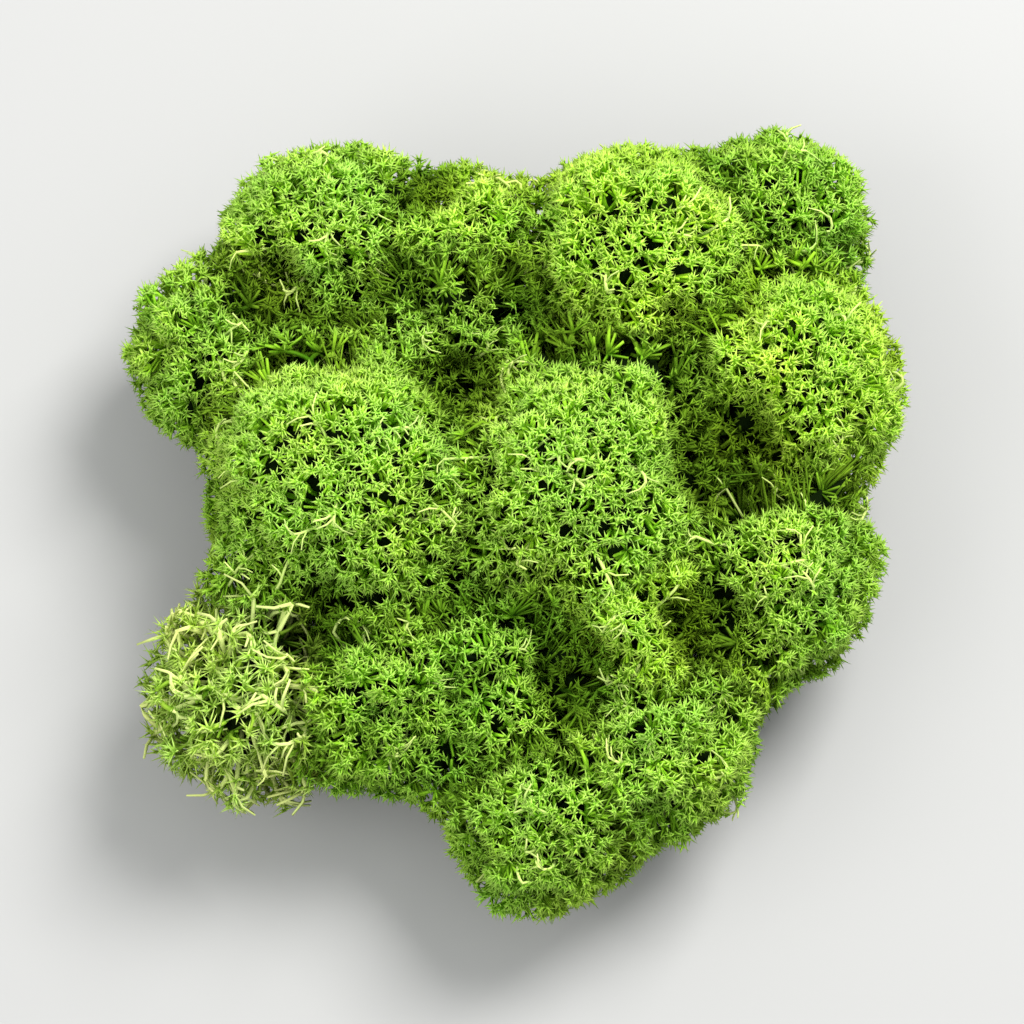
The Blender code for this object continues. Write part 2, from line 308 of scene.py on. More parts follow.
class HeadForm:
    """How far one head reaches from its centre in any direction, from its dome down to its foot."""

    def __init__(self, plan: HeadPlan, rule: FormRule, rng: np.random.Generator) -> None:
        """Find the head's lobes and parting walls.

        Args:
            plan: The head.
            rule: The sizes that all heads share.
            rng: The head's random generator, from which the lobes are the first draw.
        """
        self.plan = plan
        self.rule = rule
        self.lobes = unit(rng.normal(size=(rule.lobes, 3)) + (0.0, 0.0, rule.lobe_upward))
        self.normals, self.offsets, self.sides = self.parting_walls()
        self.wander = Wander(rule)
        self.cushion = Cushion(rule)
        area = 2.0 * math.tau * plan.size**2
        count = int(area / (rule.curd_spacing**2 * math.sin(math.radians(60))))
        self.curds = ball_lattice(count, 0.25 * rule.curd_spacing / plan.size, rng)
        self.curd_heights = rng.uniform(-rule.curd_unevenness, 0.0, size=count)

    @property
    def rest_height(self) -> float:
        """Height of the foot: heads far out are lifted off the floor a little."""
        lean = self.rule.fan_root_depth / (self.rule.fan_root_depth + self.plan.centre[2])
        far_out = np.linalg.norm(self.plan.centre[:2]) * lean > self.rule.foot_reach
        return self.rule.rim_lift if far_out else 0.0

    def parting_walls(self) -> tuple[Array, Array, Array]:
        """Find the flat walls towards all other heads.

        A wall runs through the fan's root and through the point that parts the line between two
        centres by the power rule, 1/2 + (r1 ** 2 - r2 ** 2) / (2 d ** 2) of the way.

        Returns:
            The walls' outward normals, their offsets along them, and the side, 1 or -1, on which the
            head stands of an unevenness that both neighbours share.
        """
        plan = self.plan
        others = [other for other in CLUMP if other.node != plan.node]
        sides = np.array([1.0 if plan.node < other.node else -1.0 for other in others])
        root = np.array((0.0, 0.0, -self.rule.fan_root_depth))
        across = np.array([other.centre for other in others]) - plan.centre
        sizes = np.array([other.size for other in others])
        spans = np.linalg.norm(across, axis=1)
        share = 0.5 + (plan.size**2 - sizes**2) / (2.0 * spans**2)
        parting = plan.centre + across * share[:, None]
        along = unit(parting - root)
        normals = unit(square_part(across, along))
        return normals, np.sum(normals * parting, axis=1) + self.rule.overlap / 2, sides

    def wall_limits(self, directions: Array) -> Array:
        """Measure from the centre along each direction to the nearest wall.

        Args:
            directions: Unit vectors.

        Returns:
            A distance for each, at most 1 m.
        """
        rates = np.maximum(self.normals @ directions.T, 1e-6)
        room = (self.offsets - self.normals @ self.plan.centre)[:, None]
        flat = np.minimum(room / rates, 1.0)
        places = self.plan.centre + flat[:, :, None] * directions[None]
        strayed = (room + self.sides[:, None] * self.wander.at(places)) / rates
        return np.clip(strayed, 2 * MM, 1.0).min(axis=0)

    def neck(self, directions: Array) -> Array:
        """Reach of the bundle of stalks, a leaning cone that widens upwards.

        At a height z the cone's radius is size * (foot_share + neck_slope * z / centre height), and a
        ray leaves the leaning middle line at a steady rate, so the two meet at one closed formula.

        Args:
            directions: Unit vectors.

        Returns:
            Distance from the centre to the cone's side.
        """
        rule, plan = self.rule, self.plan
        lean = plan.centre[:2] / (rule.fan_root_depth + plan.centre[2])
        rate = np.linalg.norm(directions[:, :2] - directions[:, 2:] * lean, axis=1)
        drop = np.minimum(directions[:, 2], 0.0) * rule.neck_slope / plan.centre[2]
        wide = plan.size * (rule.foot_share + rule.neck_slope)
        reach = wide / np.maximum(rate - plan.size * drop, 1e-3)
        return np.where(directions[:, 2] < 0.0, reach, 1e-4)

    def reach(self, directions: Array) -> Array:
        """Reach of the head in each direction.

        The dome is the cushion's surface with rounded lobes, lobe = exp(-(angle / width) ** 2), less
        the furrows between its curds, which deepen with the square of the distance from a curd's
        middle. It is joined with the neck, sunk in the clefts, cut by the walls and flat at the foot.

        Args:
            directions: Unit vectors.

        Returns:
            Distances from the centre to the surface.
        """
        rule, plan = self.rule, self.plan
        angles = np.arccos(np.clip(directions @ self.lobes.T, -1.0, 1.0))
        rise = np.exp(-((angles / rule.lobe_width) ** 2)).max(axis=1)
        dome = self.cushion.exit(plan, directions) * (rule.lobe_base + rule.lobe_rise * rise)
        whole = blend_lengths(dome + self.furrows(directions), self.neck(directions), rule.waist_sharpness)
        whole = whole - self.sinking(plan.centre + directions * whole[:, None]) * directions[:, 2].clip(0.35)
        whole = np.maximum(whole, 0.4 * plan.size)
        whole = blend_lengths(whole, self.wall_limits(directions), rule.wall_sharpness)
        floor = (plan.centre[2] - self.rest_height) / np.maximum(-directions[:, 2], 1e-6)
        return np.minimum(whole, floor)

    @staticmethod
    def sinking(points: Array) -> Array:
        """How far the clefts press the surface down: depth * exp(-(distance / radius) ** 2), summed.

        Args:
            points: Places near the surface, one a row.

        Returns:
            A length for each point.
        """
        places = np.array([(cleft.x, cleft.y) for cleft in CLEFTS]) * MM
        sizes = np.array([(cleft.radius, cleft.depth) for cleft in CLEFTS]) * MM
        squared = np.sum((points[:, None, :2] - places) ** 2, axis=2)
        return (sizes[:, 1] * np.exp(-squared / sizes[:, 0] ** 2)).sum(axis=1)

    def furrows(self, directions: Array) -> Array:
        """Relief of the curds, small rounded parts of the dome.

        Args:
            directions: Unit vectors.

        Returns:
            How far the surface lies below its highest, as lengths of 0 or less.
        """
        rule = self.rule
        closeness = np.clip(directions @ self.curds.T, -1.0, 1.0)
        nearest = np.argmax(closeness, axis=1)
        away = np.arccos(closeness[np.arange(len(nearest)), nearest]) * self.plan.size
        drop = (away / (rule.curd_width * rule.curd_spacing)) ** 2
        fall = rule.curd_rise * np.minimum(drop, rule.deepest_furrow)
        return self.plan.relief * (self.curd_heights[nearest] - fall)

    def crest(self, directions: Array) -> Array:
        """How near the top of its curd the surface is: 0 in the deepest furrow, 1 on the highest top."""
        rule = self.rule
        most = self.plan.relief * (rule.deepest_furrow * rule.curd_rise + rule.curd_unevenness)
        return 1.0 + self.furrows(directions) / most

    def surface(self, directions: Array) -> tuple[Array, Array, Array, Array]:
        """Points of the surface, how it faces there, how far it is stretched, and what is buried.

        The slopes a and b along two side axes come from the reach a small step aside. The surface
        faces along direction - a first - b second, and its area grows by sqrt(1 + a ** 2 + b ** 2).

        Args:
            directions: Unit vectors.

        Returns:
            The points, the outward unit vectors, the area as a share of the plain ball's, and how deep
            in the cushion a point is buried, less its clefts and furrows.
        """
        axes = side_axes(directions)
        step, steepest = 0.05, 6.0
        here = self.reach(directions)
        slopes = [(self.reach(unit(directions + step * axis)) / here - 1.0) / step for axis in axes]
        slopes = [np.clip(slope, -steepest, steepest)[:, None] for slope in slopes]
        facing = unit(directions - slopes[0] * axes[0] - slopes[1] * axes[1])
        stretch = np.sqrt(1.0 + slopes[0] ** 2 + slopes[1] ** 2)[:, 0] * (here / self.plan.size) ** 2
        points = self.plan.centre + directions * here[:, None]
        buried = self.cushion.depth(points) - self.sinking(points) + self.furrows(directions)
        return points, facing, stretch, buried

    def sunk(self, directions: Array, places: Array, facing: Array, depth: Array) -> Array:
        """Move points of the surface down along their rays, so that they lie a depth below it.

        Along a ray that meets the surface at an angle, the way down is depth / cosine of that angle.
        It is held to six tenths of the ray.

        Args:
            directions: The rays' unit vectors.
            places: Where the rays meet the surface.
            facing: How the surface faces there.
            depth: How far below the surface, in metres.

        Returns:
            The points.
        """
        cosine = np.sum(directions * facing, axis=1)
        reach = np.linalg.norm(places - self.plan.centre, axis=1)
        return places - directions * np.minimum(depth / cosine, 0.6 * reach)[:, None]

    def at_depth(self, directions: Array, depth: Array) -> Array:
        """Points a given depth, in metres, below the surface in given directions."""
        places, facing, _, _ = self.surface(directions)
        return self.sunk(directions, places, facing, depth)


class Surroundings:
    """What hides a point of the clump: every head as two opaque balls, its dome and its neck."""

    DOME_SIZE = 0.90
    NECK_SIZE = 0.60
    NECK_PLACE = (0.92, 0.92, 0.45)

    def __init__(self, looks: int = 40) -> None:
        """Place the balls and the directions of sight.

        Args:
            looks: How many directions a point looks out along.
        """
        domes = [(head.centre, self.DOME_SIZE * head.size) for head in CLUMP]
        necks = [(head.centre * self.NECK_PLACE, self.NECK_SIZE * head.size) for head in CLUMP]
        self.centres = np.array([ball[0] for ball in domes + necks])
        self.sizes = np.array([ball[1] for ball in domes + necks])
        index = np.arange(looks)
        height = 0.02 + 0.98 * (index + 0.5) / looks
        self.sights = upright_turn(index * GOLDEN_TURN, height)

    def openness(self, points: Array) -> Array:
        """Share of the sky and sides that a point sees past the heads.

        A line of sight is blocked where it passes a ball's centre, ahead of the point, at less than
        the ball's radius. A ball that the point is on or in counts only where it lies ahead.

        Args:
            points: One a row.

        Returns:
            A share for each point.
        """
        to_balls = self.centres[None] - points[:, None]
        ahead = np.einsum("pbk,sk->pbs", to_balls, self.sights)
        squared = np.sum(to_balls**2, axis=2)[:, :, None] - ahead**2
        blocked = (ahead > 0.0) & (squared < self.sizes[None, :, None] ** 2)
        return 1.0 - blocked.any(axis=1).mean(axis=1)


@dataclass
class Twigs:
    """Many tapered twigs of one kind, each a path with a radius and a tone at every station."""

    path: Array
    radii: Array
    tone: Array
    light: Array
    sides: int
    age: float = 0.0

    def rings(self) -> Array:
        """Carry a round profile along every path.

        At each station the profile lies square to the path: centre + r (cos a U + sin a V).

        Returns:
            Points as (twig, station, side, xyz).
        """
        along = unit(np.gradient(self.path, axis=1))
        chord = unit(self.path[:, -1] - self.path[:, 0] + 1e-9)
        first, _ = side_axes(chord)
        second = unit(np.cross(along, first[:, None]))
        first = np.cross(second, along)
        angle = np.arange(self.sides) * math.tau / self.sides
        spread = side_turn(first[:, :, None], second[:, :, None], angle)
        return self.path[:, :, None] + spread * self.radii[:, :, None, None]


def put_in_scene(name: str, data: bpy.types.ID) -> bpy.types.Object:
    """Put a mesh, lamp or camera into the scene as an object of that name.

    Args:
        name: Name of the object.
        data: What the object shows.

    Returns:
        The new object.
    """
    thing = bpy.data.objects.new(name, data)
    bpy.context.scene.collection.objects.link(thing)
    return thing


def new_material(name: str) -> tuple[bpy.types.Material, bpy.types.Node]:
    """Make a material that uses nodes.

    Args:
        name: Name of the material.

    Returns:
        The material and its Principled shader.
    """
    material = bpy.data.materials.new(name)
    material.use_nodes = True
    return material, material.node_tree.nodes["Principled BSDF"]


class MeshStock:
    """Gathers the points, faces and point values of one piece and makes one mesh of them."""

    def __init__(self) -> None:
        """Start with nothing."""
        self.points: list[Array] = []
        self.quads: list[Array] = []
        self.triangles: list[Array] = []
        self.values: list[Array] = []
        self.count = 0

    def add(self, points: Array, quads: Array, triangles: Array, values: Array) -> None:
        """Add one closed shape or many.

        Args:
            points: Points, one a row.
            quads: Four-sided faces among these points.
            triangles: Three-sided faces among these points.
            values: The point values of each point.
        """
        self.points.append(points)
        self.quads.append(quads.reshape(-1, 4) + self.count)
        self.triangles.append(triangles.reshape(-1, 3) + self.count)
        self.values.append(values)
        self.count += len(points)

    def add_twigs(self, twigs: Twigs, rng: np.random.Generator) -> None:
        """Add twigs, closed at both ends.

        Args:
            twigs: The twigs.
            rng: The head's random generator, for each twig's own tint.
        """
        rings = twigs.rings()
        count, stations, sides, _ = rings.shape
        if count == 0:
            return
        per_twig = stations * sides
        start = (np.arange(count) * per_twig)[:, None, None]
        station = np.arange(stations - 1)[None, :, None] * sides
        side = np.arange(sides)[None, None, :]
        beside = (side + 1) % sides
        low, low_next = start + station + side, start + station + beside
        quads = np.stack((low, low_next, low_next + sides, low + sides), axis=-1).reshape(-1, 4)
        values = np.empty((count, stations, sides, len(POINT_VALUES)))
        values[..., 0] = twigs.tone[:, :, None]
        values[..., 1] = rng.uniform(size=count)[:, None, None]
        values[..., 2] = twigs.light[:, None, None]
        values[..., 3] = twigs.age
        first, last = start[:, 0, 0], start[:, 0, 0] + (stations - 1) * sides
        triangles = np.concatenate((self.fan(first, sides, False), self.fan(last, sides, True)))
        self.add(rings.reshape(-1, 3), quads, triangles, values.reshape(-1, len(POINT_VALUES)))

    def add_spikes(
        self, path: Array, radius: Array, tone: tuple[float, float], light: Array, tint: Array
    ) -> None:
        """Add small three-sided tips, each closed at its foot and drawn out to a point.

        Args:
            path: The foot and the point of each tip, as (tip, 2, xyz).
            radius: Radius of each at its foot.
            tone: Tone at the foot and at the point.
            light: Light of each tip.
            tint: Tint of each tip.
        """
        count = len(path)
        along = unit(path[:, 1] - path[:, 0])
        first, second = side_axes(along)
        angle = np.arange(3) * math.tau / 3
        ring = path[:, :1] + side_turn(first[:, None], second[:, None], angle) * radius[:, None, None]
        points = np.concatenate((ring, path[:, 1:]), axis=1)
        corner = np.array(((0, 2, 1), (0, 1, 3), (1, 2, 3), (2, 0, 3)))
        triangles = (np.arange(count) * 4)[:, None, None] + corner[None]
        values = np.empty((count, 4, len(POINT_VALUES)))
        values[..., 0] = np.array((tone[0], tone[0], tone[0], tone[1]))
        values[..., 1] = tint[:, None]
        values[..., 2] = light[:, None]
        values[..., 3] = 0.0
        no_quads = np.empty((0, 4), int)
        self.add(points.reshape(-1, 3), no_quads, triangles, values.reshape(-1, len(POINT_VALUES)))

    @staticmethod
    def fan(first: Array, sides: int, outward: bool) -> Array:
        """Close rings with triangles fanned from their first point.

        Args:
            first: Index of each ring's first point.
            sides: Points in a ring.
            outward: Whether the ring turns the same way as the closing face.

        Returns:
            Triangles, three indices a row.
        """
        step = np.arange(1, sides - 1)
        a = np.repeat(first[:, None], sides - 2, axis=1)
        b, c = first[:, None] + step, first[:, None] + step + 1
        faces = (a, b, c) if outward else (a, c, b)
        return np.stack(faces, axis=-1).reshape(-1, 3)

    def build(self, name: str) -> bpy.types.Object:
        """Make the mesh and its object.

        Args:
            name: Name of the piece.

        Returns:
            The new object.
        """
        points = np.concatenate(self.points)
        points[:, 2] = np.maximum(points[:, 2], 0.0)
        quads, triangles = np.concatenate(self.quads), np.concatenate(self.triangles)
        values = np.concatenate(self.values)
        mesh = bpy.data.meshes.new(name)
        mesh.vertices.add(len(points))
        mesh.vertices.foreach_set("co", points.astype(np.float32).ravel())
        corners = np.concatenate((quads.ravel(), triangles.ravel()))
        mesh.loops.add(len(corners))
        mesh.loops.foreach_set("vertex_index", corners.astype(np.int32))
        sizes = np.concatenate((np.full(len(quads), 4), np.full(len(triangles), 3)))
        starts = np.concatenate(((0,), np.cumsum(sizes)[:-1]))
        mesh.polygons.add(len(sizes))
        mesh.polygons.foreach_set("loop_start", starts.astype(np.int32))
        mesh.update(calc_edges=True)
        for column, label in enumerate(POINT_VALUES):
            attribute = mesh.attributes.new(label, "FLOAT", "POINT")
            attribute.data.foreach_set("value", values[:, column].astype(np.float32))
        mesh.shade_smooth()
        return put_in_scene(name, mesh)


@dataclass(frozen=True)
class ForkLayer:
    """One layer of forks: how thick they stand, how deep they end, and their twigs' sizes.

    A netted layer leaves the holes of the net free.
    """

    spacing: float
    depth: float
    base: float
    end: float
    tone: tuple[float, float]
    sides: int
    stations: int
    netted: bool = False


@dataclass(frozen=True)
class StarSizes:
    """Sizes of the small stars of tips that end the last forks."""

    tips: tuple[int, int] = (5, 6)
    length: tuple[float, float] = (0.8 * MM, 1.5 * MM)
    base: float = 0.25 * MM
    flat_lean: tuple[float, float] = (0.95, 1.45)
    steep_lean: tuple[float, float] = (0.25, 0.8)
    steep_share: float = 0.35
    along: float = 1.3 * MM
    stand_out: tuple[float, float] = (0.5 * MM, 1.7 * MM)


@dataclass(frozen=True)
class HoleSizes:
    """The round holes of the net: their spacing, and how far they push twigs aside."""

    spacing: float = 4.3 * MM
    radius: tuple[float, float] = (0.5 * MM, 1.4 * MM)
    rarity: float = 1.4
    rim: float = 1.2 * MM


@dataclass(frozen=True)
class RunnerSizes:
    """Long pale stalks that lie over the head's surface: how many to a square metre, and their sizes."""

    density: float = 3200.0
    length: tuple[float, float] = (5 * MM, 11 * MM)
    radius: float = 0.24 * MM
    bend: float = 0.35
    age: float = 0.7
    tine_share: float = 0.55
    tine_length: tuple[float, float] = (1.6 * MM, 4.2 * MM)
    dive: float = 3.4 * MM
    depth: tuple[float, float] = (-0.2 * MM, 1.2 * MM)


@dataclass(frozen=True)
class Growth:
    """How a head grows: its layers of forks from the inside out, its stars, holes and runners."""

    layers: tuple[ForkLayer, ...] = (
        ForkLayer(14.0 * MM, 13.0 * MM, 0.80 * MM, 0.62 * MM, (0.05, 0.25), 5, 5),
        ForkLayer(9.0 * MM, 8.5 * MM, 0.58 * MM, 0.46 * MM, (0.25, 0.42), 4, 4),
        ForkLayer(5.6 * MM, 5.0 * MM, 0.46 * MM, 0.38 * MM, (0.42, 0.60), 4, 4),
        ForkLayer(3.3 * MM, 2.7 * MM, 0.37 * MM, 0.31 * MM, (0.60, 0.76), 3, 3, True),
        ForkLayer(1.70 * MM, 1.0 * MM, 0.28 * MM, 0.20 * MM, (0.76, 0.92), 3, 2, True),
    )
    undergrowth: tuple[ForkLayer, ...] = (
        ForkLayer(3.0 * MM, 4.0 * MM, 0.34 * MM, 0.26 * MM, (0.48, 0.70), 3, 2),
        ForkLayer(2.0 * MM, 2.1 * MM, 0.32 * MM, 0.24 * MM, (0.68, 0.88), 3, 2, True),
    )
    stars: StarSizes = StarSizes()
    holes: HoleSizes = HoleSizes()
    runners: RunnerSizes = RunnerSizes()
    heart_depth: float = 5.8 * MM


DENSE_GROWTH = Growth()
OPEN_GROWTH = Growth(
    layers=(
        ForkLayer(14.0 * MM, 13.0 * MM, 0.80 * MM, 0.62 * MM, (0.05, 0.25), 5, 5),
        ForkLayer(9.0 * MM, 9.0 * MM, 0.60 * MM, 0.50 * MM, (0.30, 0.45), 4, 5),
        ForkLayer(6.2 * MM, 5.6 * MM, 0.50 * MM, 0.40 * MM, (0.50, 0.66), 4, 4),
        ForkLayer(4.3 * MM, 2.6 * MM, 0.40 * MM, 0.32 * MM, (0.66, 0.80), 4, 4, True),
        ForkLayer(2.6 * MM, 0.9 * MM, 0.29 * MM, 0.22 * MM, (0.78, 0.92), 3, 3, True),
    ),
    undergrowth=(ForkLayer(2.8 * MM, 4.0 * MM, 0.32 * MM, 0.24 * MM, (0.40, 0.70), 3, 2),),
    stars=StarSizes(
        (5, 7), (1.2 * MM, 2.3 * MM), 0.23 * MM, along=2.0 * MM, stand_out=(0.2 * MM, 2.2 * MM)
    ),
    holes=HoleSizes(spacing=4.8 * MM, radius=(0.6 * MM, 2.4 * MM), rarity=1.6, rim=1.0 * MM),
    runners=RunnerSizes(13000.0, (7 * MM, 16 * MM), 0.37 * MM, 0.25, 0.9, 0.75, (2.0 * MM, 6.0 * MM)),
    heart_depth=8.0 * MM,
)


@dataclass
class Forks:
    """The ends of one layer of twigs, from which the next layer grows."""

    points: Array
    outward: Array
    heading: Array
    light: Array

    def joined(self, *others: "Forks") -> "Forks":
        """These ends together with others."""
        values = zip(*(vars(forks).values() for forks in (self, *others)))
        return Forks(*(np.concatenate(parts) for parts in values))

    def only(self, keep: Array) -> "Forks":
        """Those of these ends whose flag is true."""
        return Forks(*(values[keep] for values in vars(self).values()))

    def far_from(self, others: "Forks", distance: float) -> "Forks":
        """Those of these ends that have none of the others near.

        Args:
            others: The other ends.
            distance: What counts as near, in metres.

        Returns:
            The lonely ends.
        """
        squared = np.sum(self.points**2, axis=1)[:, None] + np.sum(others.points**2, axis=1)
        gap = squared - 2.0 * self.points @ others.points.T
        return self.only(gap.min(axis=1) > distance**2)


@dataclass
class LichenHead:
    """One head of lichen: stalks, forks, stars of tips and the dark heart between them.

    No twigs grow where a place below the equator sees less of the sky than hidden, or lies deeper in
    the clump than burial. Where the surface is stretched beyond evenness, refill adds more. A bare end
    is lonely when every star is farther off than that many of its layer's depths.
    """

    plan: HeadPlan
    number: int
    around: Surroundings
    rule: FormRule = field(default_factory=FormRule)
    foot_points: int = 14
    stalks: int = 30
    stalk_radius: tuple[float, float] = (0.50 * MM, 0.85 * MM)
    stalk_start: float = -0.93
    stalk_tops: tuple[float, float] = (-0.55, -0.05)
    depth_spread: tuple[float, float] = (0.6, 1.4)
    thick_spread: tuple[float, float] = (0.85, 1.15)
    unevenness: float = 0.22
    sway: float = 0.07
    bend: float = 0.38
    sideways_cost: float = 1.9
    long_twig: float = 1.45
    thinnest: float = 0.35
    hidden: tuple[float, float] = (0.0, 0.06)
    equator: tuple[float, float] = (-0.1, 0.2)
    burial: tuple[float, float] = (3.2 * MM, 6.5 * MM)
    # Painted shade: how deep a cleft's sinking must be for its twigs to be fully shaded.
    cleft_shade_depth: float = 4.5 * MM
    refill: float = 4.5
    evenness: float = 1.5
    lonely: float = 1.2
    crown: tuple[float, float] = (-0.80, -0.15)
    low_share: float = 0.35
    clearance: float = 1.2 * MM
    # Painted shade: the light left in curd furrows, and the share of light taken away in clefts.
    furrow_light: float = 0.6
    cleft_shade: float = 0.9
    heart_grid: tuple[int, int] = (48, 28)
    heart_burial: tuple[float, float] = (3 * MM, 6 * MM)
    heart_unevenness: tuple[float, float] = (0.85, 1.25)

    def __post_init__(self) -> None:
        """Seed the head, draw its form and place its holes."""
        self.rng = np.random.default_rng((SEED, self.number))
        self.form = HeadForm(self.plan, self.rule, self.rng)
        self.growth = OPEN_GROWTH if self.plan.open_twigs else DENSE_GROWTH
        holes = self.growth.holes
        self.hole_aims = self.spread(holes.spacing, 0.25)
        share = self.rng.uniform(size=len(self.hole_aims)) ** holes.rarity
        self.hole_sizes = holes.radius[0] + (holes.radius[1] - holes.radius[0]) * share

    def spread(self, spacing: float, unevenness: float) -> Array:
        """Directions all over the head.

        Args:
            spacing: Distance between neighbours at the surface, in metres.
            unevenness: Random shift, as a share of the spacing.

        Returns:
            Unit vectors.
        """
        area = 2.0 * math.tau * self.plan.size**2
        count = int(area / (spacing**2 * math.sin(math.radians(60))))
        return ball_lattice(count, unevenness * spacing / self.plan.size, self.rng)

    def push_from_holes(self, directions: Array, strength: float) -> Array:
        """Move directions out of the holes, so that twigs crowd into a net between them.

        A direction at a distance d from its nearest hole moves by r (1 - d / (r + rim)), where r is the
        hole's radius times the strength.

        Args:
            directions: Unit vectors.
            strength: 1 for the full radius of each hole.

        Returns:
            The moved directions.
        """
        closeness = directions @ self.hole_aims.T
        nearest = np.argmax(closeness, axis=1)
        aims = self.hole_aims[nearest]
        away = square_part(directions, aims)
        distance = np.linalg.norm(away, axis=1) * self.plan.size
        radius = self.hole_sizes[nearest] * strength
        moved = radius * np.maximum(1.0 - distance / (radius + self.growth.holes.rim), 0.0)
        return unit(directions + unit(away) * (moved / self.plan.size)[:, None])

    def foot(self) -> Forks:
        """Points where the old stalks stand on the floor, spread evenly over the foot.

        Returns:
            The stalks' feet, heading up along the fan.
        """
        form, rng = self.form, self.rng
        index = np.arange(self.foot_points)
        turn = index * GOLDEN_TURN + rng.uniform(0.0, math.tau)
        share = 0.86 * np.sqrt((index + 0.6) / self.foot_points)
        lean = self.rule.fan_root_depth / (self.rule.fan_root_depth + self.plan.centre[2])
        middle = self.plan.centre[:2] * lean
        spot = np.stack((np.cos(turn), np.sin(turn)), axis=1) * (share * self.rule.foot_share)[:, None]
        height = np.full((self.foot_points, 1), form.rest_height + self.growth.layers[0].base)
        points = np.concatenate((middle + spot * self.plan.size, height), axis=1)
        outward = unit(points - self.plan.centre)
        heading = unit(points - (0.0, 0.0, -self.rule.fan_root_depth))
        return Forks(points, outward, heading, np.full(self.foot_points, 0.2))

    def grow(self, layer: ForkLayer, parents: Forks, stock: MeshStock) -> Forks:
        """Grow one layer of twigs, each from the best placed fork below it.

        The twigs end below points spread evenly over the surface, with more where it is stretched. A
        twig's path is a curve of the second degree: it leaves along its parent's heading and ends at
        its own place. The best parent is near and lies below, not beside. A twig much longer than the
        layer's middle length is thinner, bends more and gets more painted shade. Each twig's light
        value is painted shade: it falls where the place sees little sky, on stretched walls, in curd
        furrows and in clefts.

        Args:
            layer: The layer's sizes.
            parents: Ends of the layers below.
            stock: Takes the twigs.

        Returns:
            The new ends.
        """
        rng = self.rng
        aims = self.spread(layer.spacing, self.unevenness)
        extra = self.spread(layer.spacing / math.sqrt(self.refill), self.unevenness)
        added = np.arange(len(aims) + len(extra)) >= len(aims)
        aims = np.concatenate((aims, extra))
        places, facing, stretch, buried = self.form.surface(aims)
        chance = np.where(added, (stretch - self.evenness) / self.refill, 1.0)
        chance = chance * (1.0 - smooth_step(buried, *self.burial))
        depth = layer.depth * rng.uniform(*self.depth_spread, size=len(aims))
        ends = self.form.sunk(aims, places, facing, depth)
        if layer.netted:
            low = 1.0 - smooth_step(aims[:, 2], *self.crown)
            chance = chance * (1.0 - (1.0 - self.low_share) * low)
            shift = (self.push_from_holes(aims, 1.0) - aims) * self.plan.size
            ends = ends + square_part(shift, facing)
        # Painted light: the share of sky a place sees becomes the twig's light value, which also leaves out
        # hidden twigs.
        light = self.around.openness(places)
        standing = ends[:, 2] > self.form.rest_height + self.clearance
        hidden = (1.0 - smooth_step(light, *self.hidden)) * (1.0 - smooth_step(aims[:, 2], *self.equator))
        keep = standing & (rng.uniform(size=len(aims)) < chance * (1.0 - hidden))
        aims, ends, facing = aims[keep], ends[keep], facing[keep]
        # Painted shade on the light value: darker in clefts, on stretched walls and in curd furrows.
        shade = np.minimum(self.form.sinking(ends) / self.cleft_shade_depth, 1.0)
        steep = np.clip(self.evenness / stretch[keep], 0.4, 1.0)
        crest_lit = self.furrow_light + (1.0 - self.furrow_light) * self.form.crest(aims)
        light = light[keep] * steep * crest_lit * (1.0 - self.cleft_shade * shade)
        gap = ends[:, None] - parents.points[None]
        distance = np.linalg.norm(gap, axis=2)
        lift = np.einsum("ijk,ik->ij", gap, unit(aims + facing)) / np.maximum(distance, 1e-6)
        chosen = np.argmin(distance * (self.sideways_cost - lift), axis=1)
        self.childless = np.bincount(chosen, minlength=len(parents.points)) == 0
        starts, heading = parents.points[chosen], parents.heading[chosen]
        span = np.linalg.norm(ends - starts, axis=1)[:, None]
        slim = np.clip(self.long_twig * np.median(span) / np.maximum(span, 1e-6), self.thinnest, 1.0)
        # Painted shade: long thin twigs are darker.
        light = light * slim[:, 0] ** 1.5
        sway = rng.normal(scale=self.sway, size=ends.shape) * span / slim
        bend = starts + heading * span * self.bend + sway
        t = np.linspace(0.0, 1.0, layer.stations)[None, :, None]
        path = (1 - t) ** 2 * starts[:, None] + 2 * t * (1 - t) * bend[:, None] + t**2 * ends[:, None]
        thick = rng.uniform(*self.thick_spread, size=(len(ends), 1)) * slim
        radii = np.linspace(layer.base, layer.end, layer.stations)[None] * thick
        tone = np.broadcast_to(np.linspace(*layer.tone, layer.stations), radii.shape)
        stock.add_twigs(Twigs(path, radii, tone, light, layer.sides), rng)
        return Forks(ends, facing, unit(ends - bend), light)

